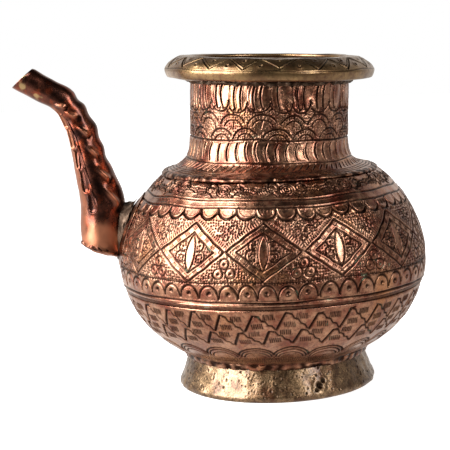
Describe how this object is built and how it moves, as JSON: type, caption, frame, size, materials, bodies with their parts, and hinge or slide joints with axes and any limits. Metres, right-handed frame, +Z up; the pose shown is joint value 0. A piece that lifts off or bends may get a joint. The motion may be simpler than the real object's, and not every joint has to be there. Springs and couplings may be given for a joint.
{
  "type": "ewer",
  "caption": "Round-bellied copper water jug with a cylindrical neck, wide brass mouth ring, flared foot ring and a curved side spout.",
  "frame": {"origin": "middle of the jug's footprint, spout included, on the plane that the foot ring stands on", "axes": "+Z up, -X the way the spout points, +Y to complete a right-handed frame"},
  "size_m": [0.2278, 0.172, 0.1866],
  "materials": {
    "raised_copper": "raised and engraved copper, polished, with dark patina in the cuts",
    "dark_copper": "raised copper, glossy dark red brown patina",
    "boot_copper": "raised copper, worn bright",
    "cast_brass": "cast and turned brass, aged, with a rubbed edge",
    "tinned_bronze": "cast bronze with worn tinning, pitted",
    "spelter_brass": "hard solder, filed flush",
    "soft_solder": "tin lead solder, dulled and lumpy"
  },
  "bodies": {
    "root": {"lower_bowl": "raised_copper", "upper_bowl": "raised_copper", "belly_braze": "spelter_brass", "neck_collar": "raised_copper", "neck_solder": "soft_solder", "rim_ring": "cast_brass", "rim_solder": "soft_solder", "foot_ring": "tinned_bronze", "foot_solder": "soft_solder", "spout_tube": "dark_copper", "spout_end_cap": "boot_copper", "spout_cap_solder": "soft_solder", "spout_saddle": "raised_copper", "spout_solder": "soft_solder"}
  },
  "joints": []
}
